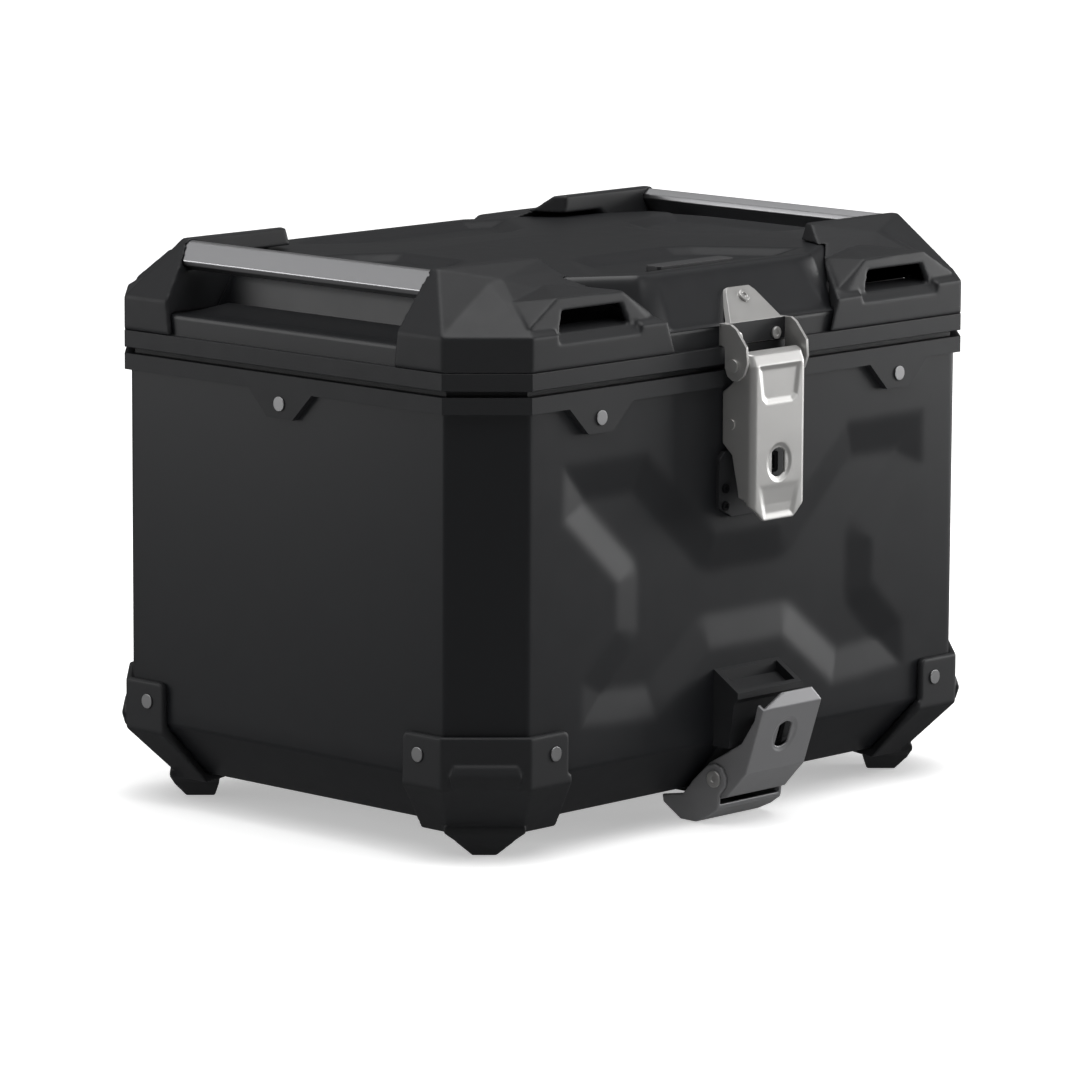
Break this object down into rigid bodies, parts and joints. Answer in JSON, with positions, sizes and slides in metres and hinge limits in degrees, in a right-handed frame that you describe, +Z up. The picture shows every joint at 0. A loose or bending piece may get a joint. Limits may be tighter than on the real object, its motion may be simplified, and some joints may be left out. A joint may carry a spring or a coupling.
{
  "type": "motorcycle top case",
  "caption": "Black aluminium motorcycle top case with a hinged lid, plastic corners, two rails, an over-centre lid latch and a quick-release carrier latch.",
  "frame": {"origin": "on the plane that the four feet stand on, under the centre of the rim", "axes": "+X along the latch side, -Y towards the latches, +Z up"},
  "size_m": [0.412, 0.3439, 0.311],
  "materials": {
    "case_paint": "satin black powder coat",
    "trim_plastic": "fine-grained matt black plastic",
    "stainless": "bead-blasted stainless steel",
    "dark_steel": "dark satin steel",
    "satin_aluminium": "satin anodised aluminium",
    "rivet_aluminium": "plain aluminium",
    "seal_rubber": "matt black rubber",
    "lock_black": "black coated brass"
  },
  "bodies": {
    "case": {"body_shell": "case_paint", "collar_rim": "trim_plastic", "collar_rivets": "rivet_aluminium", "corner_protector_fl": "trim_plastic", "corner_protector_fr": "trim_plastic", "corner_protector_bl": "trim_plastic", "corner_protector_br": "trim_plastic", "protector_rivets": "rivet_aluminium", "latch_base": "trim_plastic", "latch_base_screws": "lock_black", "mount_housing": "trim_plastic", "mount_housing_screws": "stainless", "mount_pivot_pin": "stainless", "mount_plate": "case_paint", "mount_plate_rivets": "rivet_aluminium", "carrier_hooks": "dark_steel", "hinge_leaves_body": "case_paint", "hinge_rivets_body": "rivet_aluminium", "hinge_pins": "stainless"},
    "lid": {"lid_skirt": "case_paint", "lid_walls": "case_paint", "lid_panel": "case_paint", "lid_rim": "trim_plastic", "lid_seal": "seal_rubber", "lid_corner_fl": "trim_plastic", "lid_corner_fr": "trim_plastic", "lid_corner_bl": "trim_plastic", "lid_corner_br": "trim_plastic", "lid_corner_screws": "stainless", "rail_left": "satin_aluminium", "rail_right": "satin_aluminium", "name_plate": "trim_plastic", "hinge_leaves_lid": "case_paint", "hinge_rivets_lid": "rivet_aluminium", "latch_bracket": "stainless", "bracket_screws": "stainless", "lever_pin": "stainless"},
    "lid_lever": {"latch_lever": "stainless", "hook_pin": "stainless"},
    "hook": {"hook_link": "stainless"},
    "upper_lock": {"upper_lock_core": "lock_black"},
    "carrier_lever": {"mount_lever": "dark_steel"},
    "carrier_jaw": {"mount_jaw": "dark_steel"},
    "lower_lock": {"lower_lock_core": "lock_black"}
  },
  "joints": [
    {"name": "lid_hinge", "type": "hinge", "parent": "case", "child": "lid", "pos_m": [0, 0.1575, 0.24965], "axis": [-1, 0, 0], "range_deg": [0, 95]},
    {"name": "lid_lever_hinge", "type": "hinge", "parent": "lid", "child": "lid_lever", "pos_m": [0, -0.161, 0.2512], "axis": [-1, 0, 0], "range_deg": [0, 78]},
    {"name": "hook_hinge", "type": "hinge", "parent": "lid_lever", "child": "hook", "pos_m": [0, -0.1565, 0.219], "axis": [1, 0, 0], "range_deg": [0, 20]},
    {"name": "upper_lock_turn", "type": "hinge", "parent": "case", "child": "upper_lock", "pos_m": [0, -0.16, 0.198], "axis": [0, -1, 0], "range_deg": [0, 90]},
    {"name": "carrier_lever_hinge", "type": "hinge", "parent": "case", "child": "carrier_lever", "pos_m": [0, -0.151, 0.026], "axis": [1, 0, 0], "range_deg": [0, 62]},
    {"name": "carrier_jaw_hinge", "type": "hinge", "parent": "case", "child": "carrier_jaw", "pos_m": [0, -0.151, 0.026], "axis": [1, 0, 0], "range_deg": [-8, 0]},
    {"name": "lower_lock_turn", "type": "hinge", "parent": "case", "child": "lower_lock", "pos_m": [0, -0.1594, 0.0565], "axis": [0, -0.95, -0.3123], "range_deg": [0, 90]}
  ],
  "couplings": [
    {"joint": "carrier_jaw_hinge", "follows": "carrier_lever_hinge", "ratio": -0.12}
  ]
}
